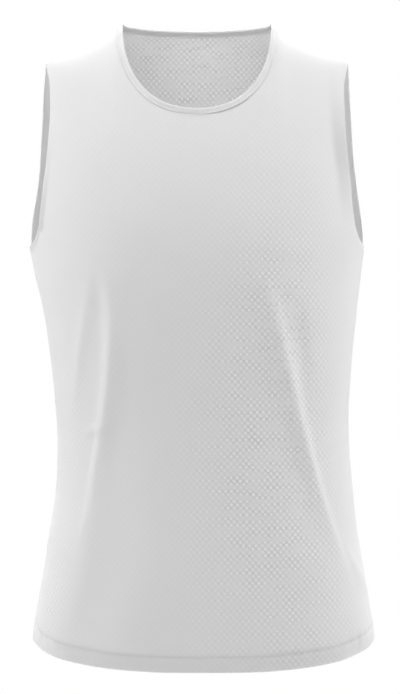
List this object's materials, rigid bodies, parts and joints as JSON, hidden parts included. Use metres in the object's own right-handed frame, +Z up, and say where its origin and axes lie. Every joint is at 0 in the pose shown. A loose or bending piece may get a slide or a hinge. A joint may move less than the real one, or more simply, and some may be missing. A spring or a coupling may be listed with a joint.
{
  "type": "cycling base layer",
  "caption": "Sleeveless cycling base layer in white mesh knit, hollow as if worn, with a round bound neck, open armholes and a turned-up curved hem.",
  "frame": {"origin": "midway between the two high shoulder points, level with the top of the neck band at the shoulder seams, where the wearer's shoulders carry the garment", "axes": "+Z up, from hem to neck; the front faces -Y; +X is to the right as seen from the front, which is the wearer's left"},
  "size_m": [0.3578, 0.2349, 0.6616],
  "materials": {
    "mesh_knit": "matte white polyester mesh knit with rows of small raised bubbles",
    "neck_binding": "matte white folded knit binding, stitched through",
    "sewing_thread": "white spun polyester thread, slightly smoother than the knit"
  },
  "bodies": {
    "root": {"front_panel": "mesh_knit", "back_panel": "mesh_knit", "neck_band": "neck_binding"}
  },
  "joints": []
}
